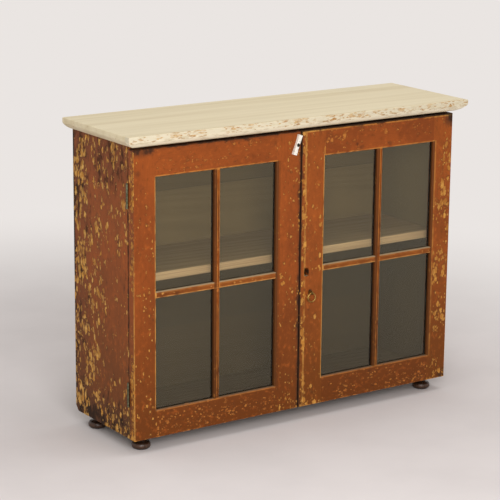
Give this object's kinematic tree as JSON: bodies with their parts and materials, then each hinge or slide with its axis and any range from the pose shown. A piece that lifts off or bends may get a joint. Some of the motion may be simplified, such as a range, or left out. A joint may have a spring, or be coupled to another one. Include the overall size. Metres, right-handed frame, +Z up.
{
  "type": "glazed cupboard",
  "caption": "Low painted pine cupboard with glazed double doors on butt hinges, a moulded top, turned feet, a shelf, a turn button, a lock and a ring pull.",
  "frame": {"origin": "on the floor, under the middle of the top slab", "axes": "+X to the right along the front, +Y from the front to the back, +Z up"},
  "size_m": [0.994, 0.308, 0.769],
  "materials": {
    "red_paint": "worn red-brown paint on pine",
    "cream_paint": "worn cream paint on pine",
    "white_paint": "old white paint on wood",
    "dark_stain": "dark stained turned wood",
    "bare_pine": "aged bare pine",
    "window_glass": "clear window glass",
    "old_steel": "dull aged steel",
    "brass": "tarnished brass"
  },
  "bodies": {
    "case": {"left_side": "red_paint", "right_side": "red_paint", "bottom_board": "bare_pine", "front_stretcher": "bare_pine", "back_stretcher": "bare_pine", "top_slab": "cream_paint", "shelf": "bare_pine", "left_shelf_cleat": "bare_pine", "right_shelf_cleat": "bare_pine", "back_board_1": "bare_pine", "back_board_2": "bare_pine", "back_board_3": "bare_pine", "back_board_4": "bare_pine", "foot_front_left": "dark_stain", "foot_front_right": "dark_stain", "foot_back_left": "dark_stain", "foot_back_right": "dark_stain", "back_nails": "old_steel", "slab_screws": "old_steel", "case_hinge_leaves": "old_steel", "hinge_pins": "old_steel"},
    "left_door": {"left_hinge_stile": "red_paint", "left_meeting_stile": "red_paint", "left_top_rail": "red_paint", "left_bottom_rail": "red_paint", "left_upright_bar": "red_paint", "left_cross_bar": "red_paint", "left_glazing_beads": "red_paint", "left_joint_pegs": "red_paint", "left_hinge_leaves": "old_steel", "left_pane_lower_outer": "window_glass", "left_pane_lower_inner": "window_glass", "left_pane_upper_outer": "window_glass", "left_pane_upper_inner": "window_glass", "turn_button_screw": "old_steel", "keeper_plate": "old_steel"},
    "right_door": {"right_hinge_stile": "red_paint", "right_meeting_stile": "red_paint", "right_top_rail": "red_paint", "right_bottom_rail": "red_paint", "right_upright_bar": "red_paint", "right_cross_bar": "red_paint", "right_glazing_beads": "red_paint", "right_joint_pegs": "red_paint", "right_hinge_leaves": "old_steel", "right_pane_lower_outer": "window_glass", "right_pane_lower_inner": "window_glass", "right_pane_upper_outer": "window_glass", "right_pane_upper_inner": "window_glass", "lock_case": "old_steel", "screw_eye": "brass"},
    "turn_button": {"turn_button": "white_paint"},
    "lock_bolt": {"lock_bolt": "old_steel"},
    "ring_pull": {"ring_pull": "brass"}
  },
  "joints": [
    {"name": "left_door_hinge", "type": "hinge", "parent": "case", "child": "left_door", "pos_m": [-0.472, -0.1025, 0.384], "axis": [0, 0, -1], "range_deg": [0, 170]},
    {"name": "right_door_hinge", "type": "hinge", "parent": "case", "child": "right_door", "pos_m": [0.472, -0.1025, 0.384], "axis": [0, 0, 1], "range_deg": [0, 170]},
    {"name": "turn_button_pivot", "type": "hinge", "parent": "left_door", "child": "turn_button", "pos_m": [-0.0155, -0.1323, 0.701], "axis": [0, 1, 0], "range_deg": [-110, 70]},
    {"name": "ring_pull_swing", "type": "hinge", "parent": "right_door", "child": "ring_pull", "pos_m": [0.0325, -0.135, 0.32605], "axis": [-1, 0, 0], "range_deg": [-10, 150]},
    {"name": "lock_bolt_slide", "type": "slide", "parent": "right_door", "child": "lock_bolt", "axis": [-1, 0, 0], "range_m": [0, 0.009]}
  ]
}
